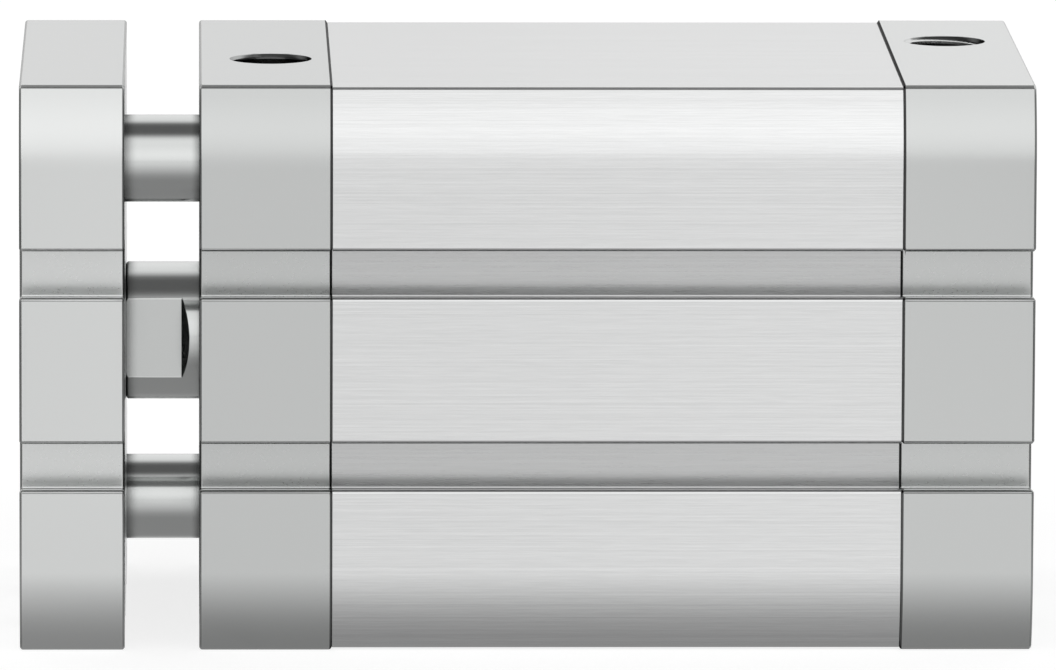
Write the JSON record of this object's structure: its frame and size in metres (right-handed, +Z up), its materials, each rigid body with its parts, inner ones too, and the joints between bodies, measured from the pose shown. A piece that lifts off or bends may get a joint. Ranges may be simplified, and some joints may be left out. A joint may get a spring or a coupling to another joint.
{
  "type": "guided compact pneumatic cylinder",
  "caption": "Square compact pneumatic cylinder with undercut sensor slots; its piston rod and guide rods push a yoke plate out of the bearing cap.",
  "frame": {"origin": "cylinder axis at the rear mounting face", "axes": "+X out of the rear face along the cylinder axis, the rod side is -X; +Z up with the air ports on top; -Y is the front with a pair of sensor slots"},
  "size_m": [0.1158, 0.0652, 0.0652],
  "materials": {
    "barrel_aluminium": "clear anodised extrusion with fine lines along the bore",
    "cap_aluminium": "satin clear anodised",
    "yoke_aluminium": "satin clear anodised",
    "ground_steel": "ground and polished",
    "zinc_steel": "zinc plated",
    "seal_rubber": "matt black",
    "cushion_plastic": "matt dark grey polyurethane",
    "slide_plastic": "matt natural polymer",
    "bush_bronze": "sintered bronze",
    "piston_aluminium": "fine turned",
    "magnet_compound": "matt dark plastic-bonded magnet"
  },
  "bodies": {
    "housing": {"cylinder_barrel": "barrel_aluminium", "bearing_cap": "cap_aluminium", "end_cap": "cap_aluminium", "bearing_cap_screws": "zinc_steel", "end_cap_screws": "zinc_steel", "front_barrel_seal": "seal_rubber", "rear_barrel_seal": "seal_rubber", "front_cushion_ring": "cushion_plastic", "rear_cushion_ring": "cushion_plastic", "piston_rod_seal": "seal_rubber", "piston_rod_bush": "bush_bronze", "guide_rod_bush_upper": "bush_bronze", "guide_rod_bush_lower": "bush_bronze", "guide_rod_wiper_upper": "seal_rubber", "guide_rod_wiper_lower": "seal_rubber"},
    "carriage": {"yoke_plate": "yoke_aluminium", "yoke_centre_screw": "zinc_steel", "guide_rod_screws": "zinc_steel", "piston_rod": "ground_steel", "guide_rod_upper": "ground_steel", "guide_rod_lower": "ground_steel", "piston_front_disc": "piston_aluminium", "piston_rear_disc": "piston_aluminium", "piston_seal_front": "seal_rubber", "piston_seal_rear": "seal_rubber", "piston_guide_ring": "slide_plastic", "piston_magnet": "magnet_compound", "piston_rod_ring": "seal_rubber", "piston_nut": "zinc_steel"}
  },
  "joints": [
    {"name": "piston_slide", "type": "slide", "parent": "housing", "child": "carriage", "axis": [-1, 0, 0], "range_m": [0, 0.05]}
  ]
}
